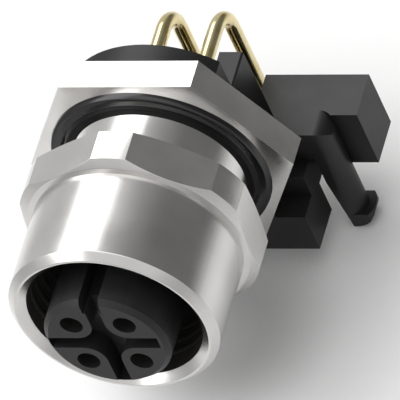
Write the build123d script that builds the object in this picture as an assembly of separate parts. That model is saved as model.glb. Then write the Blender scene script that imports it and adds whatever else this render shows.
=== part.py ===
"""Angled four-way socket connector, fixed through a panel and soldered to a board behind it.

Row frame, in millimetres: the origin is on the board's surface in the middle of the four solder tails,
+Z is up from the board, -Y is the side the plug comes from, and +X is to the right seen from that side.
Pieces are drawn in the connector's own frame, whose origin is on its axis in the flange's front face, and
place() moves them to the row frame.
"""
import os

from build123d import *

# Contacts and their pattern
PITCH = 3.7                   # between contact axes, across and up
TAIL_DIA = 1.0
TAIL_BEND_RADIUS = 2.0        # centre line of the bend
TAIL_ROW_FRONT = 9.2          # lower contacts' tails, behind the flange's front face
TAIL_ROW_GAP = 2.54           # upper contacts' tails stand this much further back
TAIL_BELOW_BOARD = 3.0
TAIL_TIP_CHAMFER = 0.2
SOCKET_DIA = 1.48
SOCKET_BORE = 1.06
SOCKET_BORE_DEPTH = 6.0
SOCKET_LENGTH = 9.0
SOCKET_RECESS = 1.2           # from the insert's face to the socket's mouth
SOCKET_SLIT = 0.25
SOCKET_SLIT_LENGTH = 4.5
CONTACT_CLEARANCE = 0.02      # radial, between a contact and the plastic that holds it

# Metal shell in front of the panel
SHELL_FRONT = 13.2            # rim, in front of the flange's front face
SHELL_DIA = 14.1
RIM_CHAMFER = 0.5
MOUTH_DIA = 12.8              # at the rim
MOUTH_BORE = 11.74
MOUTH_FLOOR = 5.6             # in front of the flange's front face
COLLAR_DIA = 16.12
COLLAR_FLATS = 15.0
COLLAR_FRONT = 6.3
COLLAR_REAR = 3.5
COLLAR_CONE = 0.38            # length of the cone round the collar's front
COLLAR_FACE_DIA = 15.0        # where that cone ends
COLLAR_TURN = -2.8            # degrees, as the thread happened to stop
NECK_DIA = 11.56
NECK_BORE = 9.5
NECK_INTO_FLANGE = 1.6        # behind the flange's front face
SCREW_CLEARANCE = 0.04        # radial, between the neck and the flange's thread

# Hexagon flange and its seal
FLANGE_FLATS = 16.0
FLANGE_THICK = 2.16
SEAL_GROOVE_DIA = 14.8
SEAL_GROOVE_DEPTH = 0.5
SEAL_BEAD_PROUD = 0.46        # bead's crest, in front of the flange's front face
SEAL_LIP_PROUD = 0.57
SEAL_BEAD_WIDTH = 0.41        # radial, outside the ridge
SEAL_RIDGE_WIDTH = 0.47       # radial, between the bead and the narrow groove
SEAL_GAP_WIDTH = 0.14         # half width of the groove between the ridge and the lip
SEAL_CLEARANCE = 0.02

# Contact insert
INSERT_DIA = 8.5
INSERT_PROUD = 1.53           # in front of the shell's rim
INSERT_EDGE = 0.35
INSERT_ROOT_DIA = 9.3
INSERT_REAR = 1.7             # behind the flange's front face
CONTACT_HOLE = 1.55
RECESS_WIDTH = 1.0
RECESS_DEPTH = 1.5
RECESS_END = 4.05             # the slots stop here and leave a thin wall
RECESS_SHORT_END = 3.65       # the right-hand slot stops here
KEYWAY_WIDTH = 1.35
KEYWAY_FLOOR = 3.05           # above the axis
KEYWAY_LENGTH = 7.6
INSERT_SEAL_SECTION = 0.7
INSERT_SEAL_GROOVE = 0.84     # width of its groove in the insert
INSERT_SEAL_PLACE = 1.4       # behind the mouth's floor

# Angled carrier behind the flange
AXIS_HEIGHT = 9.2             # above the board
STANDOFF = 0.4                # the carrier's underside clears the board by this
BOSS_CLEARANCE = 0.01
BACK_DIA = 14.6
BACK_WIDTH = 9.6
BACK_REAR = 4.1
CHEEK_OUTER = 4.73            # half width
CHEEK_INNER = 3.07
CHEEK_TOP = 2.7
CHEEK_CORNER = 0.15
CHEEK_REAR = 7.19
SLOT_FLOOR = -2.75            # floor of the tail slot between the cheeks
STEP_HALF_WIDTH = 6.86
STEP_TOP = -6.4
STEP_FRONT = 4.0
SKIRT_TOP = -8.26
SKIRT_BOTTOM = -11.55
SKIRT_REAR = 5.46
WING_INNER = 3.34
WING_OUTER = 10.62
WING_REAR = 10.6
WING_TOP = -3.87
ARM_FRONT = 5.5
ARM_CORNER = 1.15
LEG_X = 7.95
LEG_INNER = 7.32
LEG_RADIUS = 1.03
LEG_FILLET = 0.3
PEG_SHELF = 3.0               # below the board's surface, where the barb starts
PEG_BARB = 1.6                # outer reach of the barb from the leg's centre
PEG_BARB_HEIGHT = 0.15
PEG_NOSE_LEAN = 0.4           # how far the nose starts inward for each 1 down
PEG_TIP_INNER = 7.85
PEG_TIP_OUTER = 8.0
PEG_LENGTH = 4.2              # below the board's surface
NUB_RADIUS = 0.6
NUB_X = 8.75
NUB_Y = 8.2
FRONT_NUB_X = 5.6
FRONT_NUB_Y = 6.3

# Worked out from the sizes above
FLANGE_Y = -(TAIL_ROW_FRONT + TAIL_ROW_GAP / 2)
UNDERSIDE = STANDOFF - AXIS_HEIGHT
BOARD = -AXIS_HEIGHT
LEG_Y = ARM_FRONT + LEG_RADIUS
INSERT_FACE = -(SHELL_FRONT + INSERT_PROUD)
SOCKET_MOUTH = INSERT_FACE + SOCKET_RECESS
SOCKET_REAR = SOCKET_MOUTH + SOCKET_LENGTH
SCREW_BORE = NECK_DIA / 2 + SCREW_CLEARANCE
CONTACT_PLACES = {
    "contact_upper_left": (-PITCH / 2, PITCH / 2, TAIL_ROW_FRONT + TAIL_ROW_GAP),
    "contact_upper_right": (PITCH / 2, PITCH / 2, TAIL_ROW_FRONT + TAIL_ROW_GAP),
    "contact_lower_left": (-PITCH / 2, -PITCH / 2, TAIL_ROW_FRONT),
    "contact_lower_right": (PITCH / 2, -PITCH / 2, TAIL_ROW_FRONT),
}


def turned(*points):
    """Solid turned about the connector's axis from (radius, y) points."""
    return revolve(make_face(Polyline(*points, close=True)), Axis.Y)


def along_y(sketch, y0, y1):
    """Sketch drawn in x and z, extruded from y0 to y1."""
    return extrude(Plane.XZ.offset(-y1) * sketch, amount=y1 - y0)


def along_z(sketch, z0, z1):
    """Sketch drawn in x and y, extruded from z0 to z1."""
    return extrude(Plane.XY.offset(z0) * sketch, amount=z1 - z0)


def block(x, y, z):
    """Box between pairs of limits."""
    centre = Pos((x[0] + x[1]) / 2, (y[0] + y[1]) / 2, (z[0] + z[1]) / 2)
    return centre * Box(x[1] - x[0], y[1] - y[0], z[1] - z[0])


def hexagon(flats, turn=0.0):
    """Hexagon by its width across flats, with two flats level when it isn't turned."""
    return Rot(0, 0, turn) * RegularPolygon(flats / 2, 6, major_radius=False, rotation=0)


def both_sides(solid):
    """The solid with its mirror image across the middle plane."""
    return solid + mirror(solid, Plane.YZ)


def front_shell():
    """Turned shell: threaded mouth, collar with six wrench flats, and the screwed neck."""
    rim, collar, face = SHELL_DIA / 2, COLLAR_DIA / 2, COLLAR_FACE_DIA / 2
    mouth, bore, neck = MOUTH_DIA / 2, MOUTH_BORE / 2, NECK_DIA / 2
    tube = turned(
        (mouth, -SHELL_FRONT), (rim - RIM_CHAMFER, -SHELL_FRONT), (rim, RIM_CHAMFER - SHELL_FRONT),
        (rim, -COLLAR_REAR), (neck, -COLLAR_REAR), (neck, NECK_INTO_FLANGE),
        (NECK_BORE / 2, NECK_INTO_FLANGE), (NECK_BORE / 2, -MOUTH_FLOOR), (bore, -MOUTH_FLOOR),
        (bore, mouth - bore - SHELL_FRONT),
    )
    ring = turned(
        (neck, -COLLAR_REAR), (collar, -COLLAR_REAR), (collar, COLLAR_CONE - COLLAR_FRONT),
        (face, -COLLAR_FRONT), (neck, -COLLAR_FRONT),
    )
    flats = along_y(hexagon(COLLAR_FLATS, 30 + COLLAR_TURN), -COLLAR_FRONT, -COLLAR_REAR)
    return tube + (ring & flats)


def hex_flange():
    """Hexagon flange with the seal's groove and the thread that takes the neck."""
    plate = along_y(hexagon(FLANGE_FLATS), 0, FLANGE_THICK)
    groove = along_y(Circle(SEAL_GROOVE_DIA / 2), 0, SEAL_GROOVE_DEPTH)
    return plate - groove - along_y(Circle(SCREW_BORE), 0, FLANGE_THICK)


def panel_seal():
    """Moulded seal ring: lip round the neck, narrow groove, ridge, and the bead outside."""
    inner = SCREW_BORE
    outer = SEAL_GROOVE_DIA / 2 - SEAL_CLEARANCE
    bead = outer - SEAL_BEAD_WIDTH
    crest = Line((bead, -SEAL_BEAD_PROUD), (bead, SEAL_GROOVE_DEPTH))
    back = Line(crest @ 1, (outer, SEAL_GROOVE_DEPTH))
    side = Line(back @ 1, (outer, 0))
    round_ = EllipticalCenterArc((bead, 0), outer - bead, SEAL_BEAD_PROUD, start_angle=270, arc_size=90)
    bead_ring = revolve(make_face([crest, back, side, round_]), Axis.Y)
    gap = bead - SEAL_RIDGE_WIDTH
    web = turned(
        (inner, SEAL_GROOVE_DEPTH), (inner, -SEAL_LIP_PROUD), (gap - SEAL_GAP_WIDTH, -SEAL_LIP_PROUD),
        (gap, 0), (gap + SEAL_GAP_WIDTH, -SEAL_BEAD_PROUD), (bead - SEAL_GAP_WIDTH, -SEAL_BEAD_PROUD),
        (bead, SEAL_GAP_WIDTH - SEAL_BEAD_PROUD), (bead, SEAL_GROOVE_DEPTH),
    )
    return bead_ring + web


def insert_seal():
    """Small ring that seals the insert in the shell's neck."""
    outer = NECK_BORE / 2 - SEAL_CLEARANCE
    centre = Pos(outer - INSERT_SEAL_SECTION / 2, INSERT_SEAL_PLACE - MOUTH_FLOOR)
    return revolve(centre * Circle(INSERT_SEAL_SECTION / 2), Axis.Y)


def insert_face():
    """Cross recess in the insert's face, in x and z: four lobes stand between its slots."""
    half, radius = RECESS_WIDTH / 2, INSERT_DIA / 2
    lobe_round = PITCH / 2 - half
    lobe = make_face(Polyline((half, half), (radius, half), (radius, radius), (half, radius), close=True))
    lobe = fillet(lobe.vertices().sort_by(Axis.X)[:2].sort_by(Axis.Y)[0], lobe_round)
    lobes = lobe + mirror(lobe, Plane.YZ)
    lobes += mirror(lobes, Plane.XZ)
    end = Pos((RECESS_SHORT_END + radius) / 2, 0) * Rectangle(radius - RECESS_SHORT_END, 2 * RECESS_WIDTH)
    return Circle(RECESS_END) - lobes - end


def contact_insert():
    """Plastic insert with four contact chambers, the cross recess and the key slot."""
    radius, root = INSERT_DIA / 2, INSERT_ROOT_DIA / 2
    body = turned(
        (0, INSERT_FACE), (radius - INSERT_EDGE, INSERT_FACE), (radius, INSERT_FACE + INSERT_EDGE),
        (radius, -MOUTH_FLOOR), (root, -MOUTH_FLOOR), (root, INSERT_REAR), (0, INSERT_REAR),
    )
    body -= along_y(insert_face(), INSERT_FACE, INSERT_FACE + RECESS_DEPTH)
    keyway = Pos(0, (KEYWAY_FLOOR + radius) / 2 + INSERT_EDGE) * Rectangle(
        KEYWAY_WIDTH, radius - KEYWAY_FLOOR + 2 * INSERT_EDGE)
    body -= along_y(keyway, INSERT_FACE, INSERT_FACE + KEYWAY_LENGTH)
    seal_bed = NECK_BORE / 2 - SEAL_CLEARANCE - INSERT_SEAL_SECTION
    groove_front = INSERT_SEAL_PLACE - MOUTH_FLOOR - INSERT_SEAL_GROOVE / 2
    body -= along_y(Circle(root) - Circle(seal_bed), groove_front, groove_front + INSERT_SEAL_GROOVE)
    for x, z, _ in CONTACT_PLACES.values():
        chamber = along_y(Pos(x, z) * Circle(CONTACT_HOLE / 2), INSERT_FACE, SOCKET_REAR)
        stem = along_y(Pos(x, z) * Circle(TAIL_DIA / 2 + CONTACT_CLEARANCE), SOCKET_REAR, INSERT_REAR)
        body -= chamber + stem
    return body


def contact(x, z, tail_y):
    """Slotted socket and its tail, which runs back and bends down through the board."""
    tip = BOARD - TAIL_BELOW_BOARD
    route = FilletPolyline((x, SOCKET_REAR, z), (x, tail_y, z), (x, tail_y, tip), radius=TAIL_BEND_RADIUS)
    tail = sweep(Plane(route @ 0, z_dir=route % 0) * Circle(TAIL_DIA / 2), route)
    tail = chamfer(tail.faces().sort_by(Axis.Z)[0].edges(), TAIL_TIP_CHAMFER)
    socket = along_y(Pos(x, z) * Circle(SOCKET_DIA / 2), SOCKET_MOUTH, SOCKET_REAR)
    socket -= along_y(Pos(x, z) * Circle(SOCKET_BORE / 2), SOCKET_MOUTH, SOCKET_MOUTH + SOCKET_BORE_DEPTH)
    slit = Pos(x, z) * Rectangle(SOCKET_DIA + SOCKET_SLIT, SOCKET_SLIT)
    socket -= along_y(slit, SOCKET_MOUTH, SOCKET_MOUTH + SOCKET_SLIT_LENGTH)
    return socket + tail


def carrier_back():
    """Round-topped back with flat sides, and the boss that centres the flange."""
    outline = Circle(BACK_DIA / 2) & Rectangle(BACK_WIDTH, BACK_DIA)
    outline += Pos(0, SKIRT_TOP / 2) * Rectangle(BACK_WIDTH, -SKIRT_TOP)
    back = along_y(outline, FLANGE_THICK, BACK_REAR)
    return back + along_y(Circle(SCREW_BORE - BOSS_CLEARANCE), INSERT_REAR, FLANGE_THICK)


def carrier_middle():
    """Two cheeks with the tail slot between them, on the step that sits on the board's edge."""
    cheeks = block((-CHEEK_OUTER, CHEEK_OUTER), (BACK_REAR, CHEEK_REAR), (UNDERSIDE, CHEEK_TOP))
    top_edges = cheeks.edges().filter_by(Axis.Y).group_by(Axis.Z)[-1]
    cheeks = fillet(top_edges, CHEEK_CORNER)
    cheeks -= block((-CHEEK_INNER, CHEEK_INNER), (BACK_REAR, CHEEK_REAR), (SLOT_FLOOR, CHEEK_TOP))
    step = block((-STEP_HALF_WIDTH, STEP_HALF_WIDTH), (STEP_FRONT, CHEEK_REAR), (UNDERSIDE, STEP_TOP))
    skirt = block((-STEP_HALF_WIDTH, STEP_HALF_WIDTH), (FLANGE_THICK, SKIRT_REAR), (SKIRT_BOTTOM, SKIRT_TOP))
    return cheeks + step + skirt


def carrier_wings():
    """Wings either side of the tails, scalloped round the legs, and the nubs that meet the board."""
    wing = block((WING_INNER, WING_OUTER), (CHEEK_REAR, WING_REAR), (UNDERSIDE, WING_TOP))
    wing -= along_z(arm_plan(), WING_TOP - ARM_CORNER, WING_TOP)
    nub = along_z(Circle(NUB_RADIUS), BOARD, UNDERSIDE)
    return both_sides(wing + Pos(NUB_X, NUB_Y) * nub + Pos(FRONT_NUB_X, FRONT_NUB_Y) * nub)


def arm_plan():
    """Arm and leg seen from above, with a half-round outer end."""
    length = LEG_X - CHEEK_OUTER
    straight = Pos(CHEEK_OUTER + length / 2, LEG_Y) * Rectangle(length, 2 * LEG_RADIUS)
    return straight + Pos(LEG_X, LEG_Y) * Circle(LEG_RADIUS)


def arm_front():
    """Arm and leg seen from the front: the arm reaches out and turns down into the leg."""
    outer = LEG_X + LEG_RADIUS
    outline = make_face(Polyline(
        (CHEEK_OUTER, WING_TOP), (outer, WING_TOP), (outer, UNDERSIDE), (LEG_INNER, UNDERSIDE),
        (LEG_INNER, STEP_TOP), (CHEEK_OUTER, STEP_TOP), close=True,
    ))
    top_corner = outline.vertices().sort_by_distance((outer, WING_TOP))[0]
    outline = fillet(top_corner, ARM_CORNER)
    inner_corner = outline.vertices().sort_by_distance((LEG_INNER, STEP_TOP))[0]
    return fillet(inner_corner, LEG_FILLET)


def snap_peg():
    """Peg below the leg: tapered inside, with a barb outside that catches under the board."""
    shelf, tip = BOARD - PEG_SHELF, BOARD - PEG_LENGTH
    barb_end = shelf - PEG_BARB_HEIGHT
    outer = LEG_X + PEG_BARB
    edge = Polyline(
        (PEG_TIP_OUTER, tip), (PEG_TIP_INNER, tip), (LEG_INNER, UNDERSIDE), (outer, UNDERSIDE),
        (outer, barb_end),
    )
    nose = TangentArc(edge @ 1, edge @ 0, tangent=(-PEG_NOSE_LEAN, -1))
    outline = make_face([edge, nose])
    shank = along_z(arm_plan(), tip, UNDERSIDE)
    outer_half = Pos(PEG_BARB / 2, 0) * Rectangle(PEG_BARB, 2 * LEG_RADIUS)
    head = along_z(Pos(LEG_X, LEG_Y) * (Circle(PEG_BARB) & outer_half), tip, shelf)
    return along_y(outline, LEG_Y - LEG_RADIUS, LEG_Y + LEG_RADIUS) & (shank + head)


def angle_carrier():
    """The whole angled plastic moulding."""
    arm = along_y(arm_front(), LEG_Y - LEG_RADIUS, LEG_Y + LEG_RADIUS)
    arm &= along_z(arm_plan(), UNDERSIDE, WING_TOP)
    body = carrier_back() + carrier_middle() + carrier_wings() + both_sides(arm + snap_peg())
    for x, z, _ in CONTACT_PLACES.values():
        body -= along_y(Pos(x, z) * Circle(TAIL_DIA / 2 + CONTACT_CLEARANCE), INSERT_REAR, BACK_REAR)
    return body


def place(solid):
    """Moves a piece from the connector's frame to the row frame."""
    return Location((0, FLANGE_Y, AXIS_HEIGHT)) * solid


def main():
    """Builds every piece and writes one STEP file for each."""
    pieces = {
        "front_shell": front_shell(),
        "hex_flange": hex_flange(),
        "panel_seal": panel_seal(),
        "insert_seal": insert_seal(),
        "contact_insert": contact_insert(),
        "angle_carrier": angle_carrier(),
    }
    for name, (x, z, tail_y) in CONTACT_PLACES.items():
        pieces[name] = contact(x, z, tail_y)
    os.makedirs("parts", exist_ok=True)
    for name, solid in pieces.items():
        export_step(place(solid), f"parts/{name}.step")


main()
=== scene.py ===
"""Looks of the angled socket connector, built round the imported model.

Sizes are in millimetres in the connector's own frame: Y runs along its axis, away from the plug, Z is up from
the board, and the origin is on the axis in the flange's front face. to_row() turns them into the row frame.
Finishes give their heights in metres and their noises' scales per metre.
"""

import logging
import math
from collections.abc import Callable, Iterable, Sequence
from dataclasses import dataclass, field
from enum import Enum

import bmesh
import bpy
from mathutils import Matrix, Vector


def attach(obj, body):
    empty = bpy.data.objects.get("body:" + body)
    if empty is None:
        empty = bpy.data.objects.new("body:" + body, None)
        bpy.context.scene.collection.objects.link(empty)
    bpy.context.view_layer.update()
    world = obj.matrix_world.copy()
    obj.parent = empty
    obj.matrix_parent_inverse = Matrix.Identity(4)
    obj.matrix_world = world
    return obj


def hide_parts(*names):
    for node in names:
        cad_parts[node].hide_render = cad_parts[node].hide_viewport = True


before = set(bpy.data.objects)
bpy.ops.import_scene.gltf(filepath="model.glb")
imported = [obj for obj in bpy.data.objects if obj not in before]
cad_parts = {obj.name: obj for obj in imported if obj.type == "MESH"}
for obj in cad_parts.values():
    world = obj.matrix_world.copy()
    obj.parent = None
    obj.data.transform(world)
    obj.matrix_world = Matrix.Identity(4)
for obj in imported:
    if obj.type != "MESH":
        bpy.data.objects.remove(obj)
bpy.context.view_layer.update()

MM = 0.001
FLANGE_Y = -10.47
AXIS_HEIGHT = 9.2
LOG = logging.getLogger("connector")

# Tolerances of meshes, in metres and square metres
WELD = 1e-8
CAD_WELD = 2e-7
FLAT_OFFSET = 1e-5
WIDE_FACE = 1.5e-6

# Limits of angles, the digits that tell two apart, and a bevel's steps
SMOOTH_LIMIT = math.radians(18)
FLAT_LIMIT = math.radians(1)
TANGENT_LIMIT = math.radians(2)
BEVEL_LIMIT = math.radians(32)
ANGLE_DIGITS = 6
BEVEL_STEPS = 3

# Share of a normal along one way that makes a face square to it
SQUARE = 0.99

# Shares of a side that a corner takes up, and of a step that stays free beside an edge
CORNER_ROOM = 0.45
EDGE_ROOM = 0.2

Mesh = bpy.types.Mesh
Material = bpy.types.Material
Node = bpy.types.Node
Object = bpy.types.Object
BMesh = bmesh.types.BMesh
BMVert = bmesh.types.BMVert
Point2 = tuple[float, float]
Span = tuple[float, float]
Point3 = tuple[float, float, float]
Color = tuple[float, float, float]
Value = float | tuple[Node, str | int]


def grey(level: float) -> Color:
    """Returns a grey of one level."""
    return level, level, level


def to_row(x: float, y: float, z: float) -> Vector:
    """Turns a point of the connector's frame, in millimetres, into the row frame, in metres."""
    return Vector((x, y + FLANGE_Y, z + AXIS_HEIGHT)) * MM


class Body(Enum):
    """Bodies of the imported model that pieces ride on."""

    BASE = "base"
    SHELL = "shell"


class Slot(Enum):
    """Material slots of the record; no piece here takes its finish from them."""

    METAL = "nickel_plate"
    RUBBER = "black_rubber"
    INSERT = "insert_plastic"
    CARRIER = "carrier_plastic"
    GOLD = "gold_plate"


class Graph:
    """A node tree while it is being wired."""

    def __init__(self, tree: bpy.types.NodeTree) -> None:
        """Starts from an empty tree.

        Args:
            tree: the tree that the nodes go into.
        """
        self.tree = tree
        tree.nodes.clear()

    def add(self, kind: str, **settings: object) -> Node:
        """Adds a node.

        Args:
            kind: the node's type name.
            **settings: properties set on the node itself.

        Returns:
            The new node.
        """
        node = self.tree.nodes.new(kind)
        for key, value in settings.items():
            setattr(node, key, value)
        return node

    def wire(self, source: Node, out: str | int, target: Node, into: str | int) -> None:
        """Links an output of one node to an input of another."""
        self.tree.links.new(source.outputs[out], target.inputs[into])

    def feed(self, value: Value, target: Node, into: str | int) -> None:
        """Gives an input a number or a link.

        Args:
            value: the number, or the node and the output that the link starts from.
            target: the node that is fed.
            into: its input.
        """
        if isinstance(value, tuple) and isinstance(value[0], Node):
            self.wire(value[0], value[1], target, into)
        else:
            target.inputs[into].default_value = value

    def math(self, operation: str, first: Value, second: Value = 0.0) -> Value:
        """Adds a Math node.

        Args:
            operation: what the node works out.
            first: its first number or link.
            second: its second number or link.

        Returns:
            The link to its result.
        """
        node = self.add("ShaderNodeMath", operation=operation)
        self.feed(first, node, 0)
        self.feed(second, node, 1)
        return node, 0

    def slope(
        self, value: Value, start: float, end: float, low: float, high: float, curve: str = "SMOOTHSTEP",
    ) -> Value:
        """Maps a value from low at start to high at end, level beyond both.

        Args:
            value: the link to the value.
            start: where the slope starts.
            end: where it ends.
            low: result up to the start.
            high: result from the end on.
            curve: how the slope runs, smooth or LINEAR.

        Returns:
            The link to the result.
        """
        node = self.add("ShaderNodeMapRange", interpolation_type=curve)
        self.feed(value, node, "Value")
        for name, number in (("From Min", start), ("From Max", end), ("To Min", low), ("To Max", high)):
            node.inputs[name].default_value = number
        return node, 0

    def ramp(self, value: Value, stops: Sequence[Point2]) -> Value:
        """Maps a value through levels given at places from 0 to 1.

        Args:
            value: the link to the value.
            stops: (place, level) pairs in order.

        Returns:
            The link to the level.
        """
        node = self.add("ShaderNodeValToRGB")
        for _ in stops[2:]:
            node.color_ramp.elements.new(0.5)
        for element, (place, level) in zip(node.color_ramp.elements, stops):
            element.position = place
            element.color = (level, level, level, 1.0)
        self.feed(value, node, "Fac")
        return node, "Color"


class Shader(Graph):
    """A node material while it is being wired."""

    noise_span = (0.3, 0.7)
    tint_span = (0.35, 0.65)

    def __init__(self, name: str, metallic: float = 0.0) -> None:
        """Starts a node material with a plain surface.

        Args:
            name: the material's name.
            metallic: 1 for metal.
        """
        self.material = bpy.data.materials.new(name)
        self.material.use_nodes = True
        super().__init__(self.material.node_tree)
        self.surface = self.add("ShaderNodeBsdfPrincipled")
        self.surface.inputs["Metallic"].default_value = metallic
        output = self.add("ShaderNodeOutputMaterial")
        self.wire(self.surface, "BSDF", output, "Surface")
        self.coords = self.add("ShaderNodeTexCoord")

    def mapped(self, scale: Sequence[float] = (1.0, 1.0, 1.0)) -> Node:
        """Object coordinates scaled along each axis, per metre.

        Args:
            scale: the three scales.

        Returns:
            A Mapping node.
        """
        mapping = self.add("ShaderNodeMapping")
        mapping.inputs["Scale"].default_value = scale
        self.wire(self.coords, "Object", mapping, "Vector")
        return mapping

    def length(self, source: Node) -> Value:
        """Works out the length of the vector that a node gives.

        Args:
            source: the node.

        Returns:
            The link to the length.
        """
        node = self.add("ShaderNodeVectorMath", operation="LENGTH")
        self.wire(source, "Vector", node, 0)
        return node, "Value"

    def noise(self, source: Node, scale: float, detail: float = 3.0) -> Node:
        """Noise over the coordinates that a node gives.

        Args:
            source: the node whose Vector output places the noise.
            scale: the noise's scale in those coordinates.
            detail: its number of octaves.

        Returns:
            The Noise Texture node.
        """
        noise = self.add("ShaderNodeTexNoise")
        noise.inputs["Scale"].default_value = scale
        noise.inputs["Detail"].default_value = detail
        self.wire(source, "Vector", noise, "Vector")
        return noise

    def roughen(self, noise: Node, low: float, high: float) -> None:
        """Sets the surface's roughness between two values by a noise.

        Args:
            noise: the noise node.
            low: roughness of its darker parts.
            high: roughness of its lighter parts.
        """
        level = self.slope((noise, "Fac"), *self.noise_span, low, high, curve="LINEAR")
        self.feed(level, self.surface, "Roughness")

    def tint(self, noise: Node, dark: Color, light: Color) -> None:
        """Colours the surface between two tones by a noise.

        Args:
            noise: the noise node.
            dark: tone of its darker parts.
            light: tone of its lighter parts.
        """
        ramp = self.add("ShaderNodeValToRGB")
        for element, place, tone in zip(ramp.color_ramp.elements, self.tint_span, (dark, light)):
            element.position = place
            element.color = (*tone, 1.0)
        self.wire(noise, "Fac", ramp, "Fac")
        self.wire(ramp, "Color", self.surface, "Base Color")

    def bump(self, heights: Iterable[tuple[Node, str, float, float]]) -> None:
        """Chains bumps and gives their normal to the surface.

        Args:
            heights: for each bump its node, that node's output, the height in metres and the strength.
        """
        below = None
        for node, out, distance, strength in heights:
            bump = self.add("ShaderNodeBump")
            bump.inputs["Distance"].default_value = distance
            bump.inputs["Strength"].default_value = strength
            self.wire(node, out, bump, "Height")
            if below is not None:
                self.wire(below, "Normal", bump, "Normal")
            below = bump
        self.wire(below, "Normal", self.surface, "Normal")


@dataclass(frozen=True)
class TurnedNickel:
    """Satin nickel plate over metal turned in a lathe: fine rings about the connector's axis."""

    name: str = "turned_nickel"
    tone_low: Color = (0.66, 0.65, 0.635)
    tone_high: Color = (0.72, 0.71, 0.695)
    rough_low: float = 0.17
    rough_high: float = 0.24
    ring_scale: float = 9000.0
    ring_height: float = 1.2e-7
    ring_strength: float = 0.35
    stain_scale: float = 260.0

    def material(self) -> Material:
        """Builds the material."""
        shader = Shader(self.name, metallic=1.0)
        across = shader.mapped((1.0, 0.0, 1.0))
        across.inputs["Location"].default_value = (0.0, 0.0, -AXIS_HEIGHT * MM)
        split = shader.add("ShaderNodeSeparateXYZ")
        shader.wire(shader.coords, "Object", split, "Vector")
        rings = shader.add("ShaderNodeCombineXYZ")
        shader.feed(shader.length(across), rings, "X")
        shader.wire(split, "Y", rings, "Y")
        turned = shader.noise(rings, self.ring_scale, detail=2.0)
        stain = shader.noise(shader.mapped(), self.stain_scale)
        shader.tint(stain, self.tone_low, self.tone_high)
        shader.roughen(stain, self.rough_low, self.rough_high)
        shader.bump([(turned, "Fac", self.ring_height, self.ring_strength)])
        return shader.material


@dataclass(frozen=True)
class ShadedBoreMetal:
    """The mouth's inside: rough metal whose tone is darkened far below the plated outside, as painted shade
    deep in the mouth.
    """

    name: str = "bore_painted_shade"
    tone: Color = (0.15, 0.145, 0.135)
    roughness: float = 0.6

    def material(self) -> Material:
        """Builds the material."""
        shader = Shader(self.name, metallic=1.0)
        shader.surface.inputs["Base Color"].default_value = (*self.tone, 1.0)
        shader.surface.inputs["Roughness"].default_value = self.roughness
        return shader.material


@dataclass(frozen=True)
class MilledNickel:
    """Satin nickel plate over milled flats: faint straight cutter marks."""

    name: str = "milled_nickel"
    tone_low: Color = (0.66, 0.65, 0.635)
    tone_high: Color = (0.72, 0.71, 0.695)
    rough_low: float = 0.2
    rough_high: float = 0.27
    mark_scale: Point3 = (900.0, 9000.0, 900.0)
    mark_height: float = 1.0e-7
    mark_strength: float = 0.35
    stain_scale: float = 300.0

    def material(self) -> Material:
        """Builds the material."""
        shader = Shader(self.name, metallic=1.0)
        marks = shader.noise(shader.mapped(self.mark_scale), 1.0, detail=2.0)
        stain = shader.noise(shader.mapped(), self.stain_scale)
        shader.tint(stain, self.tone_low, self.tone_high)
        shader.roughen(stain, self.rough_low, self.rough_high)
        shader.bump([(marks, "Fac", self.mark_height, self.mark_strength)])
        return shader.material


@dataclass(frozen=True)
class MouldedPlastic:
    """Black moulded plastic or rubber with a fine grain and a slight ripple."""

    name: str
    tone_low: Color
    tone_high: Color
    rough_low: float
    rough_high: float
    grain_scale: float = 9000.0
    grain_height: float = 4.0e-6
    grain_strength: float = 0.25
    ripple_scale: float = 500.0
    ripple_height: float = 1.0e-5
    ripple_strength: float = 0.1
    specular: float = 0.5
    specular_aslant: float = 0.5
    aslant: Span = (0.25, 0.62)

    def material(self) -> Material:
        """Builds the material, whose gloss may weaken where it is seen aslant."""
        shader = Shader(self.name)
        facing = shader.add("ShaderNodeLayerWeight")
        gloss = shader.slope((facing, "Facing"), *self.aslant, self.specular, self.specular_aslant)
        shader.feed(gloss, shader.surface, "Specular IOR Level")
        even = shader.mapped()
        ripple = shader.noise(even, self.ripple_scale)
        grain = shader.noise(even, self.grain_scale, detail=2.0)
        shader.tint(ripple, self.tone_low, self.tone_high)
        shader.roughen(ripple, self.rough_low, self.rough_high)
        shader.bump([
            (ripple, "Fac", self.ripple_height, self.ripple_strength),
            (grain, "Fac", self.grain_height, self.grain_strength),
        ])
        return shader.material


@dataclass(frozen=True)
class GoldPlate:
    """Pale gold plate over drawn wire, with small changes of tone and a faint unevenness."""

    name: str = "pale_gold"
    tone_low: Color = (0.70, 0.585, 0.29)
    tone_high: Color = (0.80, 0.70, 0.42)
    rough_low: float = 0.08
    rough_high: float = 0.14
    tone_scale: float = 900.0
    tone_height: float = 2.0e-6
    tone_strength: float = 0.1

    def material(self) -> Material:
        """Builds the material."""
        shader = Shader(self.name, metallic=1.0)
        tone = shader.noise(shader.mapped(), self.tone_scale)
        shader.tint(tone, self.tone_low, self.tone_high)
        shader.roughen(tone, self.rough_low, self.rough_high)
        shader.bump([(tone, "Fac", self.tone_height, self.tone_strength)])
        return shader.material


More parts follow.
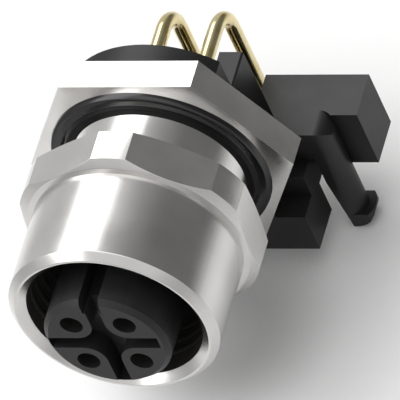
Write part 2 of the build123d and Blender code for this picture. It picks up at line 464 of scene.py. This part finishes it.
class Finishes:
    """The connector's materials, each built once."""

    def __init__(self) -> None:
        """Builds every material."""
        self.turned = TurnedNickel().material()
        self.milled = MilledNickel().material()
        # The bore's material paints the shade inside the mouth into its tone
        self.bore = ShadedBoreMetal().material()
        self.rubber = MouldedPlastic(
            "seal_rubber", tone_low=grey(0.004), tone_high=grey(0.007), rough_low=0.13, rough_high=0.19,
            specular=0.62, specular_aslant=0.05).material()
        # A darker, rougher copy of the rubber for the lip: painted shade where it sits deep by the neck
        self.lip = MouldedPlastic(
            "seal_lip_painted_shade", tone_low=grey(0.002), tone_high=grey(0.004), rough_low=0.5, rough_high=0.6,
            specular=0.2, specular_aslant=0.1).material()
        self.insert = MouldedPlastic(
            "insert_plastic", tone_low=(0.012, 0.012, 0.0125), tone_high=(0.015, 0.015, 0.0155),
            rough_low=0.4, rough_high=0.48, specular=0.38, specular_aslant=0.3).material()
        self.carrier = MouldedPlastic(
            "carrier_plastic", tone_low=grey(0.009), tone_high=grey(0.012), rough_low=0.34, rough_high=0.42,
            specular=0.42, specular_aslant=0.18).material()
        self.gold = GoldPlate().material()


class Recipe(Graph):
    """A Geometry Nodes group while it is being wired, and the pieces made with it."""

    def __init__(self, name: str, numbers: Sequence[str], counts: Sequence[str]) -> None:
        """Starts a group with a geometry input, a geometry output, named inputs and a material's.

        Args:
            name: the group's name.
            numbers: names of the inputs that take any number.
            counts: names of the inputs that take a whole number.
        """
        tree = bpy.data.node_groups.new(name, "GeometryNodeTree")
        super().__init__(tree)
        for direction in ("INPUT", "OUTPUT"):
            tree.interface.new_socket("Geometry", in_out=direction, socket_type="NodeSocketGeometry")
        kinds = dict.fromkeys(numbers, "NodeSocketFloat") | dict.fromkeys(counts, "NodeSocketInt")
        kinds["Material"] = "NodeSocketMaterial"
        self.sockets = {
            field_name: tree.interface.new_socket(field_name, in_out="INPUT", socket_type=kind).identifier
            for field_name, kind in kinds.items()
        }
        self.given = self.add("NodeGroupInput")

    def close(self, last: Node, out: str = "Mesh") -> None:
        """Ends the group: realizes instances, sets the material and hands the geometry out.

        Args:
            last: the node that ends the shape.
            out: its output.
        """
        real = self.add("GeometryNodeRealizeInstances")
        painted = self.add("GeometryNodeSetMaterial")
        result = self.add("NodeGroupOutput")
        self.wire(last, out, real, "Geometry")
        self.wire(real, "Geometry", painted, "Geometry")
        self.wire(self.given, "Material", painted, "Material")
        self.wire(painted, "Geometry", result, "Geometry")

    def made(self, name: str, plan: Mesh, values: dict[str, object]) -> Object:
        """Makes a piece with the group.

        Args:
            name: the piece's name.
            plan: the mesh that the group starts from.
            values: the value of each named input.

        Returns:
            The piece, with the group's result as its own mesh and no modifier.
        """
        obj = linked(name, plan)
        modifier = obj.modifiers.new("recipe", "NODES")
        modifier.node_group = self.tree
        for field_name, value in values.items():
            modifier[self.sockets[field_name]] = value
        result = bpy.data.meshes.new_from_object(obj.evaluated_get(bpy.context.evaluated_depsgraph_get()))
        obj.modifiers.remove(modifier)
        obj.data = result
        result.name = name
        smoothed(result)
        return obj


def finished(obj: Object, body: Body, nodes: Sequence[str] = ()) -> Object:
    """Puts a piece on its body, hides the CAD nodes it replaces and logs it.

    Args:
        obj: the piece.
        body: the body it rides on.
        nodes: the CAD nodes that it replaces.

    Returns:
        The piece.
    """
    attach(obj, body.value)
    if nodes:
        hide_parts(*nodes)
    LOG.info("%s rides on %s, %d faces", obj.name, body.value, len(obj.data.polygons))
    return obj


def linked(name: str, mesh: Mesh) -> Object:
    """Makes an object of a mesh and links it to the scene."""
    obj = bpy.data.objects.new(name, mesh)
    bpy.context.scene.collection.objects.link(obj)
    return obj


def rounded_profile(corners: Sequence[tuple[Point2, float]], steps: int = 6) -> list[Point2]:
    """Rounds the corners of a closed outline.

    Args:
        corners: each corner with its radius, which is cut down where a side is too short for it.
        steps: pieces in each arc.

    Returns:
        The points of the rounded outline, steps + 1 for each rounded corner and 1 for each sharp one.
    """
    made: list[Point2] = []
    for i, (corner, radius) in enumerate(corners):
        if radius <= 0:
            made.append(corner)
            continue
        here = Vector(corner)
        back = Vector(corners[i - 1][0]) - here
        ahead = Vector(corners[(i + 1) % len(corners)][0]) - here
        room = CORNER_ROOM * min(back.length, ahead.length)
        turn = math.pi - back.angle(ahead, math.pi)
        reach = min(radius * math.tan(turn / 2), room)
        start, end = here + back.normalized() * reach, here + ahead.normalized() * reach
        for k in range(steps + 1):
            t = k / steps
            point = start * (1 - t) ** 2 + here * 2 * t * (1 - t) + end * t ** 2
            made.append((point.x, point.y))
    return made


def from_axis(polygon: bpy.types.MeshPolygon) -> Vector:
    """Works out how a face's middle lies across and up from the connector's axis."""
    return Vector((polygon.center.x, 0.0, polygon.center.z - AXIS_HEIGHT * MM))


def ring_angles(count: int, extra: Iterable[float] = ()) -> list[float]:
    """Angles round the axis, evenly spaced and with extra ones, in radians.

    Args:
        count: the number of even ones.
        extra: angles where an edge lies.

    Returns:
        The sorted angles: the edges' own, and the even ones that leave them room.
    """
    step = math.tau / count
    whole = round(math.tau, ANGLE_DIGITS)
    edges = list({round(a % math.tau, ANGLE_DIGITS) % whole for a in extra})
    even = (k * step for k in range(count))
    clear = [a for a in even
             if all(abs((a - e + math.pi) % math.tau - math.pi) > step * EDGE_ROOM for e in edges)]
    return sorted(edges + clear)


def smoothed(mesh: Mesh) -> None:
    """Shades a mesh smooth and leaves its sharper edges sharp."""
    mesh.shade_smooth()
    mesh.set_sharp_from_angle(angle=SMOOTH_LIMIT)


def placed(
    build: BMesh, outline: Iterable[Point2], angle: float, x: float = 0.0, z: float = 0.0,
) -> list[BMVert]:
    """Places an outline's points at an angle round a line that runs along Y.

    Args:
        build: the mesh being built.
        outline: the (radius, y) points.
        angle: the angle, in radians from +X towards +Z.
        x: where the line lies across.
        z: where it lies up.

    Returns:
        The new vertices.
    """
    return [build.verts.new(to_row(x + r * math.cos(angle), y, z + r * math.sin(angle))) for r, y in outline]


def joined(build: BMesh, rows: Sequence[Sequence[BMVert]], closed: bool = True) -> None:
    """Joins outlines, each to the next, by bands of faces.

    Args:
        build: the mesh being built.
        rows: the outlines' vertices, as many in each.
        closed: whether the last outline is joined to the first.
    """
    nexts = [*rows[1:], rows[0]] if closed else rows[1:]
    for row, after in zip(rows, nexts):
        for j, vert in enumerate(row):
            k = (j + 1) % len(row)
            build.faces.new((vert, row[k], after[k], after[j]))


def lathe(
    name: str, angles: Sequence[float], profile: Callable[[float], Sequence[Point2]], material: Material,
) -> Object:
    """Makes a closed ring whose section may change with the angle.

    Args:
        name: the object's name.
        angles: angles round the axis, in radians from +X towards +Z.
        profile: gives the section's (radius, y) points at an angle, the same number at each.
        material: the piece's material.

    Returns:
        The new object.
    """
    build = bmesh.new()
    joined(build, [placed(build, profile(angle), angle) for angle in angles])
    bmesh.ops.remove_doubles(build, verts=build.verts, dist=WELD)
    bmesh.ops.recalc_face_normals(build, faces=build.faces)
    mesh = bpy.data.meshes.new(name)
    build.to_mesh(mesh)
    build.free()
    smoothed(mesh)
    mesh.materials.append(material)
    return linked(name, mesh)


def softened(name: str, node: str, width: float, material: Material) -> Object:
    """Copies a CAD node, merges its triangles into flat faces and rounds its edges.

    Args:
        name: the new piece's name.
        node: the CAD node.
        width: the width of the rounded edges, in millimetres.
        material: the piece's material.

    Returns:
        The new object.
    """
    build = bmesh.new()
    build.from_mesh(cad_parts[node].data)
    bmesh.ops.remove_doubles(build, verts=build.verts, dist=CAD_WELD)
    bmesh.ops.dissolve_limit(
        build, angle_limit=FLAT_LIMIT, verts=build.verts, edges=build.edges, use_dissolve_boundaries=False)
    for edge in build.edges:
        wide = max((face.calc_area() for face in edge.link_faces), default=0.0)
        edge.smooth = wide < WIDE_FACE or edge.calc_face_angle(0.0) < TANGENT_LIMIT
    mesh = bpy.data.meshes.new(name)
    build.to_mesh(mesh)
    build.free()
    normals = mesh.attributes.get("custom_normal")
    if normals is not None:
        mesh.attributes.remove(normals)
    mesh.materials.clear()
    mesh.materials.append(material)
    for polygon in mesh.polygons:
        polygon.use_smooth = True
    obj = linked(name, mesh)
    bevel = obj.modifiers.new("edges", "BEVEL")
    bevel.width = width * MM
    bevel.segments = BEVEL_STEPS
    bevel.limit_method = "ANGLE"
    bevel.angle_limit = BEVEL_LIMIT
    bevel.harden_normals = True
    return obj


@dataclass
class HexShape:
    """A hexagon seen along the axis, whose corners a circle may cut off.

    flats and circle are distances from the axis, and turn is the angle of one flat's middle.
    """

    flats: float
    circle: float
    turn: float

    def edge_angles(self) -> list[float]:
        """Works out where the flats end.

        Returns:
            The angles, in radians.
        """
        cut = self.circle * math.cos(math.pi / 6) < self.flats
        reach = math.acos(self.flats / self.circle) if cut else math.pi / 6
        return [self.turn + side * math.pi / 3 + s * reach for side in range(6) for s in (-1, 1)]

    def radius(self, angle: float) -> float:
        """Works out how far the outline is from the axis.

        Args:
            angle: the angle round the axis, in radians.

        Returns:
            The distance, in millimetres.
        """
        sixth = math.pi / 3
        off = (angle - self.turn + sixth / 2) % sixth - sixth / 2
        return min(self.flats / math.cos(off), self.circle)


@dataclass
class Shell:
    """The turned metal shell with its threaded mouth, hexagon collar and neck."""

    front: float = -13.2
    outer: float = 7.05
    rim_chamfer: float = 0.5
    mouth: float = 6.4
    bore: float = 5.87
    floor: float = -5.6
    collar_front: float = -6.3
    collar_rear: float = -3.5
    collar_face: float = 7.47
    collar_root: float = 0.07
    collar_cone: float = 0.38
    collar_rear_cone: float = 0.19
    collar: HexShape = field(
        default_factory=lambda: HexShape(flats=7.5, circle=8.06, turn=math.radians(60 - 2.8)))
    neck: float = 5.78
    neck_bore: float = 4.75
    neck_rear: float = 1.6
    rim_edge: float = 0.05
    chamfer_edge: float = 0.06
    turned_edge: float = 0.1
    milled_edge: float = 0.03
    run_out: float = 0.2
    segments: int = 216

    def section(self, angle: float) -> list[Point2]:
        """Section of the shell's wall at an angle.

        Args:
            angle: the angle round the axis, in radians.

        Returns:
            (radius, y) points of the rounded outline.
        """
        across = self.collar.radius(angle)
        share = (across - self.collar_face) / (self.collar.circle - self.collar_face)
        cone_end = self.collar_front + self.collar_cone * share
        rear_end = self.collar_rear - self.collar_rear_cone * share
        chamfer_in = self.mouth - self.bore
        corners = [
            ((self.mouth, self.front), self.rim_edge),
            ((self.outer - self.rim_chamfer, self.front), self.chamfer_edge),
            ((self.outer, self.front + self.rim_chamfer), self.turned_edge),
            ((self.outer, self.collar_front - self.collar_root), 0.0),
            ((self.collar_face, self.collar_front), self.run_out),
            ((across, cone_end), self.milled_edge),
            ((across, rear_end), self.milled_edge),
            ((self.collar_face, self.collar_rear), self.milled_edge),
            ((self.neck, self.collar_rear), 0.0),
            ((self.neck, self.neck_rear), self.turned_edge),
            ((self.neck_bore, self.neck_rear), self.turned_edge),
            ((self.neck_bore, self.floor), self.rim_edge),
            ((self.bore, self.floor), 0.0),
            ((self.bore, self.front + chamfer_in), self.rim_edge),
        ]
        return rounded_profile(corners)

    def build(self, finishes: Finishes) -> None:
        """Builds the shell, with milled flats and a bore darkened with painted shade, and puts it on its
        body.

        Args:
            finishes: the connector's materials.
        """
        angles = ring_angles(self.segments, self.collar.edge_angles())
        shell = lathe("shell_body", angles, self.section, finishes.turned)
        shell.data.materials.append(finishes.milled)
        shell.data.materials.append(finishes.bore)
        lip = to_row(0.0, self.front + self.mouth - self.bore, 0.0).y
        for polygon in shell.data.polygons:
            radial = Vector((polygon.normal.x, 0.0, polygon.normal.z))
            middle = from_axis(polygon)
            off_axis = abs(radial.x * middle.z - radial.z * middle.x)
            level = radial.length > SQUARE
            if level and off_axis > FLAT_OFFSET and middle.length > self.outer * MM:
                polygon.material_index = 1
            # Faces of the bore take the painted shade
            if radial.dot(middle) < 0 and polygon.center.y > lip:
                polygon.material_index = 2
        finished(shell, Body.SHELL, ["front_shell"])


@dataclass
class Flange:
    """The hexagon flange with the groove for the seal."""

    shape: HexShape = field(default_factory=lambda: HexShape(flats=8.0, circle=9.24, turn=math.pi / 2))
    thick: float = 2.16
    bore: float = 5.82
    groove: float = 7.4
    groove_depth: float = 0.5
    groove_edge: float = 0.03
    sharp_edge: float = 0.008
    bore_edge: float = 0.05
    segments: int = 180

    def section(self, angle: float) -> list[Point2]:
        """Section of the flange at an angle.

        Args:
            angle: the angle round the axis, in radians.

        Returns:
            (radius, y) points of the rounded outline.
        """
        across = self.shape.radius(angle)
        corners = [
            ((self.bore, self.groove_depth), 0.0),
            ((self.groove, self.groove_depth), 0.0),
            ((self.groove, 0.0), self.groove_edge),
            ((across, 0.0), self.sharp_edge),
            ((across, self.thick), self.sharp_edge),
            ((self.bore, self.thick), self.bore_edge),
        ]
        return rounded_profile(corners)

    def build(self, finishes: Finishes) -> None:
        """Builds the flange, which the neck doesn't mirror, and puts it on its body.

        Args:
            finishes: the connector's materials.
        """
        angles = ring_angles(self.segments, self.shape.edge_angles())
        flange = lathe("flange_plate", angles, self.section, finishes.milled)
        flange.visible_glossy = False
        finished(flange, Body.BASE, ["hex_flange"])


@dataclass
class Seal:
    """The moulded seal ring: lip round the neck, narrow groove and broad outer bead; the lip is rougher and
    darkened with painted shade.
    """

    inner: float = 5.82
    outer: float = 7.38
    back: float = 0.5
    lip: float = -0.57
    ridge: float = -0.46
    gap: float = 6.5
    gap_half: float = 0.14
    lip_root_edge: float = 0.05
    lip_edge: float = 0.1
    gap_edge: float = 0.03
    ridge_edge: float = 0.12
    bead_round: float = 0.6
    round_steps: int = 10
    segments: int = 200

    def section(self, _angle: float) -> list[Point2]:
        """Section of the seal, the same all round.

        Returns:
            (radius, y) points of the rounded outline.
        """
        corners = [
            ((self.inner, self.back), 0.0),
            ((self.inner, self.lip), self.lip_root_edge),
            ((self.gap - self.gap_half, self.lip), self.lip_edge),
            ((self.gap, 0.0), self.gap_edge),
            ((self.gap + self.gap_half, self.ridge), self.ridge_edge),
            ((self.outer, self.ridge), self.bead_round),
            ((self.outer, self.back), 0.0),
        ]
        return rounded_profile(corners, self.round_steps)

    def build(self, finishes: Finishes) -> None:
        """Builds the seal, which the neck doesn't mirror, and puts it on its body.

        Args:
            finishes: the connector's materials.
        """
        seal = lathe("seal_ring", ring_angles(self.segments), self.section, finishes.rubber)
        # Faces inside the groove take the lip's painted shade
        seal.data.materials.append(finishes.lip)
        for polygon in seal.data.polygons:
            if from_axis(polygon).length < self.gap * MM:
                polygon.material_index = 1
        seal.visible_glossy = False
        finished(seal, Body.BASE, ["panel_seal"])


@dataclass
class Mouldings:
    """The insert and the angled carrier, made from their CAD solids with rounded edges."""

    insert_edge: float = 0.06
    carrier_edge: float = 0.04

    def build(self, finishes: Finishes) -> None:
        """Builds both mouldings and dresses the hidden seal.

        Args:
            finishes: the connector's materials.
        """
        insert = softened("insert_face", "contact_insert", self.insert_edge, finishes.insert)
        finished(insert, Body.BASE, ["contact_insert"])
        carrier = softened("carrier_moulding", "angle_carrier", self.carrier_edge, finishes.carrier)
        finished(carrier, Body.BASE, ["angle_carrier"])
        dress("insert_seal", finishes.rubber)


def dress(node: str, material: Material) -> None:
    """Gives a CAD node that stays its material.

    Args:
        node: the CAD node's name.
        material: the material it gets.
    """
    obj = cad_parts[node]
    obj.data.materials.clear()
    obj.data.materials.append(material)
    LOG.info("%s keeps its solid", node)


@dataclass
class Thread:
    """The internal thread in the shell's mouth, a ridge that runs round its bore."""

    wall: float = 5.87
    depth: float = 0.05
    width: float = 0.42
    crest: float = 0.3
    pitch: float = 1.0
    front: float = -11.9
    turns: float = 5.6
    run_out: float = 0.06
    least: float = 0.02
    steps: int = 64

    def recipe(self) -> Recipe:
        """Wires the group: a spiral with a ridge swept along it that fades out at both ends.

        Returns:
            The group.
        """
        group = Recipe("thread_ridge", ("Wall", "Depth", "Width", "Pitch", "Turns"), ("Steps",))
        spiral = group.add("GeometryNodeCurveSpiral")
        for source, target in (("Steps", "Resolution"), ("Turns", "Rotations"), ("Wall", "Start Radius"),
                               ("Wall", "End Radius")):
            group.wire(group.given, source, spiral, target)
        group.feed(group.math("MULTIPLY", (group.given, "Turns"), (group.given, "Pitch")), spiral, "Height")
        upright = group.add("GeometryNodeSetCurveNormal", mode="Z_UP")
        group.wire(spiral, "Curve", upright, "Curve")
        ridge = group.add("GeometryNodeCurvePrimitiveQuadrilateral", mode="POINTS")
        corners = ((-1.0, 1.0), (-1.0, -1.0), (1.0, -self.crest), (1.0, self.crest))
        for number, (inward, across) in enumerate(corners, start=1):
            corner = group.add("ShaderNodeCombineXYZ")
            group.feed(group.math("MULTIPLY", (group.given, "Depth"), inward), corner, "X")
            group.feed(group.math("MULTIPLY", (group.given, "Width"), across), corner, "Y")
            group.wire(corner, "Vector", ridge, f"Point {number}")
        place = group.add("GeometryNodeSplineParameter")
        rise = group.slope((place, "Factor"), 0.0, self.run_out, self.least, 1.0)
        fall = group.slope((place, "Factor"), 1.0 - self.run_out, 1.0, 1.0, self.least)
        swept = group.add("GeometryNodeCurveToMesh")
        group.wire(upright, "Curve", swept, "Curve")
        group.wire(ridge, "Curve", swept, "Profile Curve")
        group.feed(group.math("MULTIPLY", rise, fall), swept, "Scale")
        swept.inputs["Fill Caps"].default_value = True
        group.close(swept)
        return group

    def build(self, finishes: Finishes) -> None:
        """Builds the ridge and turns it along the connector's axis.

        Args:
            finishes: the connector's materials.
        """
        plan = bpy.data.meshes.new("thread_plan")
        # The ridge takes the bore's painted shade too
        values = {
            "Wall": self.wall * MM, "Depth": self.depth * MM, "Width": self.width * MM,
            "Pitch": self.pitch * MM, "Turns": self.turns, "Steps": self.steps, "Material": finishes.bore}
        thread = self.recipe().made("mouth_thread", plan, values)
        lying = Matrix.Translation(to_row(0.0, self.front, 0.0)) @ Matrix.Rotation(-math.pi / 2, 4, "X")
        thread.data.transform(lying)
        finished(thread, Body.SHELL)


@dataclass
class Contacts:
    """The four contacts: slotted sockets with tails that run back and bend down through the board."""

    pitch: float = 3.7
    upper_tail: float = 11.74
    lower_tail: float = 9.2
    mouth: float = -13.53
    slit_end: float = -9.03
    bore_end: float = -7.53
    socket_rear: float = -4.53
    socket: float = 0.74
    bore: float = 0.53
    slit: float = 0.25
    tail: float = 0.5
    bend: float = 2.0
    tip: float = -12.2
    tip_length: float = 0.2
    edge: float = 0.05
    drill_cone: float = 0.2
    bend_steps: int = 18
    sides: int = 40

    def places(self) -> dict[str, Point3]:
        """Works out where each contact lies.

        Returns:
            For each CAD node, its place across and up and where its tail goes down.
        """
        half = self.pitch / 2
        rows = (("upper", half, self.upper_tail), ("lower", -half, self.lower_tail))
        return {f"contact_{row}_{side}": (x, z, tail)
                for row, z, tail in rows for side, x in (("left", -half), ("right", half))}

    def recipe(self) -> Recipe:
        """Wires the group: a wire swept along a filleted line, with a chamfered tip.

        Returns:
            The group.
        """
        group = Recipe("solder_tail", ("Radius", "Bend", "Tip"), ("Sides",))
        route = group.add("GeometryNodeMeshToCurve")
        group.wire(group.given, "Geometry", route, "Mesh")
        rounded = group.add("GeometryNodeFilletCurve", mode="POLY")
        rounded.inputs["Count"].default_value = self.bend_steps
        group.wire(route, "Curve", rounded, "Curve")
        group.wire(group.given, "Bend", rounded, "Radius")
        ring = group.add("GeometryNodeCurvePrimitiveCircle", mode="RADIUS")
        group.wire(group.given, "Sides", ring, "Resolution")
        group.wire(group.given, "Radius", ring, "Radius")
        wire = group.add("GeometryNodeCurveToMesh")
        wire.inputs["Fill Caps"].default_value = True
        group.wire(rounded, "Curve", wire, "Curve")
        group.wire(ring, "Curve", wire, "Profile Curve")
        facing = group.add("GeometryNodeInputNormal")
        split = group.add("ShaderNodeSeparateXYZ")
        group.wire(facing, "Normal", split, "Vector")
        down = group.math("LESS_THAN", (split, "Z"), -SQUARE)
        drawn = group.add("GeometryNodeExtrudeMesh", mode="FACES")
        group.wire(wire, "Mesh", drawn, "Mesh")
        group.feed(down, drawn, "Selection")
        group.wire(group.given, "Tip", drawn, "Offset Scale")
        narrowed = group.add("GeometryNodeScaleElements", domain="FACE")
        group.wire(drawn, "Mesh", narrowed, "Geometry")
        group.wire(drawn, "Top", narrowed, "Selection")
        narrowed.inputs["Scale"].default_value = 1.0 - self.tip_length / self.tail
        group.close(narrowed, "Geometry")
        return group

    def half(self, build: BMesh, x: float, z: float, side: int) -> None:
        """Adds the upper or the lower half of a socket's slotted front.

        Args:
            build: the mesh being built.
            x: where the socket's axis lies across.
            z: where it lies up.
            side: 1 for the upper half, -1 for the lower.
        """
        outline = ((self.socket, self.mouth + self.edge), (self.socket - self.edge, self.mouth),
                   (self.bore + self.edge, self.mouth), (self.bore, self.mouth + self.edge),
                   (self.bore, self.slit_end + self.edge), (self.socket, self.slit_end + self.edge))
        start = math.asin(self.slit / 2 / self.bore)
        steps = self.sides // 2
        turns = [side * (start + (math.pi - 2 * start) * k / steps) for k in range(steps + 1)]
        rows = [placed(build, outline, turn, x, z) for turn in turns]
        joined(build, rows, closed=False)
        build.faces.new(rows[0])
        build.faces.new(rows[-1])

    def rear(self, build: BMesh, x: float, z: float) -> None:
        """Adds the closed rear part of a socket, which holds the end of its bore.

        Args:
            build: the mesh being built.
            x: where the socket's axis lies across.
            z: where it lies up.
        """
        outline = ((self.socket, self.slit_end), (self.bore, self.slit_end), (self.bore, self.bore_end),
                   (0.0, self.bore_end + self.drill_cone), (0.0, self.socket_rear),
                   (self.socket, self.socket_rear))
        turns = [math.tau * k / self.sides for k in range(self.sides)]
        joined(build, [placed(build, outline, turn, x, z) for turn in turns])
        bmesh.ops.remove_doubles(build, verts=build.verts, dist=WELD)

    def build(self, finishes: Finishes) -> None:
        """Builds the four contacts.

        Args:
            finishes: the connector's materials.
        """
        group = self.recipe()
        values = {"Radius": self.tail * MM, "Bend": self.bend * MM, "Sides": self.sides,
                  "Tip": self.tip_length * MM, "Material": finishes.gold}
        for node, (x, z, tail_y) in self.places().items():
            plan = bpy.data.meshes.new(f"{node}_plan")
            corners = [to_row(x, self.socket_rear, z), to_row(x, tail_y, z),
                       to_row(x, tail_y, self.tip + self.tip_length)]
            plan.from_pydata(corners, [(0, 1), (1, 2)], [])
            contact = group.made(f"{node}_pin", plan, values)
            build = bmesh.new()
            self.half(build, x, z, 1)
            self.half(build, x, z, -1)
            self.rear(build, x, z)
            build.from_mesh(contact.data)
            bmesh.ops.recalc_face_normals(build, faces=build.faces)
            build.to_mesh(contact.data)
            build.free()
            smoothed(contact.data)
            finished(contact, Body.BASE, [node])


@dataclass
class Studio:
    """Camera at the photograph's angle and the pale floor, with a shadow painted on it."""

    right: Point3 = (0.9229, 0.2398, -0.3013)
    up: Point3 = (0.0, 0.7825, 0.6227)
    back: Point3 = (0.3851, -0.5747, 0.7221)
    pixels_per_mm: float = 15.4
    image: float = 400.0
    axis_pixel: Span = (162.0, 164.8)
    distance: float = 1000.0
    clip: Span = (100.0, 20000.0)
    sensor: float = 36.0
    floor_drop: float = -13.52
    floor_size: float = 600.0
    floor_cells: int = 8
    floor_tone: float = 0.87
    floor_rough: float = 0.9
    # Where the shadow painted on the floor centres, how far it reaches and how much it darkens the floor's
    # tone
    painted_shadow_middle: Point2 = (0.5, -3.5)
    painted_shadow_reach: Span = (2.5, 9.5)
    painted_shadow_factor: float = 0.56
    fade_size: float = 200.0
    fade: tuple[Point2, ...] = (
        (0.0, 1.0), (0.1, 1.0), (0.14, 0.87), (0.19, 0.66), (0.26, 0.38), (0.42, 0.12), (0.9, 0.0))

    def camera(self) -> None:
        """Places the camera where the photograph was taken from."""
        right, up, back = Vector(self.right), Vector(self.up), Vector(self.back)
        aside = (self.image / 2 - self.axis_pixel[0]) / self.pixels_per_mm
        lift = (self.axis_pixel[1] - self.image / 2) / self.pixels_per_mm
        target = right * aside + up * lift
        place = to_row(*(target + back * self.distance))
        data = bpy.data.cameras.new("photo_camera")
        data.sensor_width = self.sensor
        data.lens = self.pixels_per_mm * self.distance * self.sensor / self.image
        data.clip_start, data.clip_end = (limit * MM for limit in self.clip)
        camera = bpy.data.objects.new("photo_camera", data)
        turn = Matrix((right, up, back)).transposed().to_4x4()
        camera.matrix_world = Matrix.Translation(place) @ turn
        bpy.context.scene.collection.objects.link(camera)
        bpy.context.scene.camera = camera

    def paper(self) -> Material:
        """Builds the floor's white, with a painted shadow that darkens it beneath the connector, faded out
        far away and clear from below.

        Returns:
            The material.
        """
        shader = Shader("floor_paper")
        shader.surface.inputs["Roughness"].default_value = self.floor_rough
        level = (1.0, 1.0, 0.0)
        shadow_offset = shader.mapped(level)
        shadow_offset.inputs["Location"].default_value = -to_row(*self.painted_shadow_middle, -AXIS_HEIGHT)
        inner, outer = (reach * MM for reach in self.painted_shadow_reach)
        # Painted shadow: the floor's tone darkens towards the spot beneath the connector
        tone = shader.slope(
            shader.length(shadow_offset), inner, outer, self.floor_tone * self.painted_shadow_factor, self.floor_tone)
        shader.feed(tone, shader.surface, "Base Color")
        away = shader.length(shader.mapped(level))
        share = shader.ramp(shader.math("DIVIDE", away, self.fade_size * MM), self.fade)
        side = shader.add("ShaderNodeNewGeometry")
        upper = shader.math("SUBTRACT", 1.0, (side, "Backfacing"))
        shader.feed(shader.math("MULTIPLY", share, upper), shader.surface, "Alpha")
        return shader.material

    def floor(self) -> None:
        """Lays the pale floor under the pegs."""
        build = bmesh.new()
        cells, reach = self.floor_cells, self.floor_size * MM / 2
        bmesh.ops.create_grid(build, x_segments=cells, y_segments=cells, size=reach)
        bmesh.ops.translate(build, verts=build.verts, vec=to_row(0.0, 0.0, self.floor_drop))
        mesh = bpy.data.meshes.new("studio_floor")
        build.to_mesh(mesh)
        build.free()
        mesh.materials.append(self.paper())
        linked("studio_floor", mesh)

    def build(self) -> None:
        """Builds the camera and the floor."""
        self.camera()
        self.floor()
        bpy.context.scene.view_settings.view_transform = "Standard"


@dataclass(frozen=True)
class Softbox:
    """A bright panel of the sky between four soft edges, each given by where it starts and ends.

    Edges are given across and ahead on a level sheet one unit up, turned a little about the upright.
    """

    left: Span
    right: Span
    front: Span
    back: Span
    level: float


@dataclass(frozen=True)
class Sky:
    """Light from all round: softboxes overhead on the left, pale sides left and in front, dim on the right.

    The room's level is given by the turn about the connector's axis, from 0 on the right over 0.5 overhead
    to 1 on the left, and blends into a level in front that rises from the horizon up.
    """

    room: tuple[Point2, ...] = (
        (0.0, 0.17), (0.25, 0.175), (0.31, 0.22), (0.38, 0.30),
        (0.44, 0.39), (0.5, 0.53), (0.76, 0.74), (0.9, 0.62))
    front: Span = (-0.7, -0.3)
    front_levels: Span = (0.5, 0.75)
    front_rise: Span = (0.05, 0.35)
    horizon: Span = (0.02, 0.08)
    slant: float = 0.255
    boxes: tuple[Softbox, ...] = (
        Softbox(left=(-1.8, -1.3), right=(-0.45, -0.31), front=(-2.3, -1.6), back=(0.85, 1.2), level=2.3),
        Softbox(left=(-0.42, -0.28), right=(0.0, 1.2), front=(-1.2, -0.7), back=(0.2, 0.6), level=1.0),
    )

    def level(self, graph: Graph) -> Value:
        """Wires how bright the sky is in each direction.

        Args:
            graph: the world's graph.

        Returns:
            The link to the level.
        """
        coords = graph.add("ShaderNodeTexCoord")
        split = graph.add("ShaderNodeSeparateXYZ")
        graph.wire(coords, "Generated", split, "Vector")
        rise = graph.math("ABSOLUTE", (split, "Z"))
        turn = graph.math("DIVIDE", graph.math("ARCTAN2", rise, (split, "X")), math.pi)
        room = graph.ramp(turn, self.room)
        up = graph.math("MAXIMUM", (split, "Z"), self.horizon[0])
        aside, lean = (graph.math("DIVIDE", (split, axis), up) for axis in ("X", "Y"))
        across = graph.math("SUBTRACT", aside, graph.math("MULTIPLY", lean, self.slant))
        ahead = graph.math("ADD", lean, graph.math("MULTIPLY", aside, self.slant))
        behind = graph.slope(lean, *self.front, 0.0, 1.0)
        before = graph.slope(lean, *self.front, 1.0, 0.0)
        pale = graph.slope((split, "Z"), *self.front_rise, *self.front_levels)
        level = graph.math("ADD", graph.math("MULTIPLY", room, behind), graph.math("MULTIPLY", pale, before))
        for box in self.boxes:
            shine = graph.slope((split, "Z"), *self.horizon, 0.0, box.level)
            sides = ((across, box.left, 0.0), (across, box.right, 1.0),
                     (ahead, box.front, 0.0), (ahead, box.back, 1.0))
            for value, (start, end), low in sides:
                shine = graph.math("MULTIPLY", shine, graph.slope(value, start, end, low, 1.0 - low))
            level = graph.math("ADD", shine, level)
        return level

    def build(self) -> None:
        """Wires the world, which is plain white where the camera looks straight at it."""
        world = bpy.data.worlds.new("studio_world")
        world.use_nodes = True
        graph = Graph(world.node_tree)
        light = graph.add("ShaderNodeBackground")
        graph.feed(self.level(graph), light, "Strength")
        plain = graph.add("ShaderNodeBackground")
        path = graph.add("ShaderNodeLightPath")
        mixed = graph.add("ShaderNodeMixShader")
        output = graph.add("ShaderNodeOutputWorld")
        graph.wire(path, "Is Camera Ray", mixed, "Fac")
        graph.wire(light, "Background", mixed, 1)
        graph.wire(plain, "Background", mixed, 2)
        graph.wire(mixed, "Shader", output, "Surface")
        for source in (light, plain):
            source.inputs["Color"].default_value = (1.0, 1.0, 1.0, 1.0)
        bpy.context.scene.world = world


def main() -> None:
    """Builds the connector's pieces and the studio."""
    logging.basicConfig(level=logging.INFO, format="%(name)s: %(message)s")
    Studio().build()
    Sky().build()
    finishes = Finishes()
    for part in (Shell(), Thread(), Flange(), Seal(), Mouldings(), Contacts()):
        part.build(finishes)


if __name__ == "__main__":
    main()
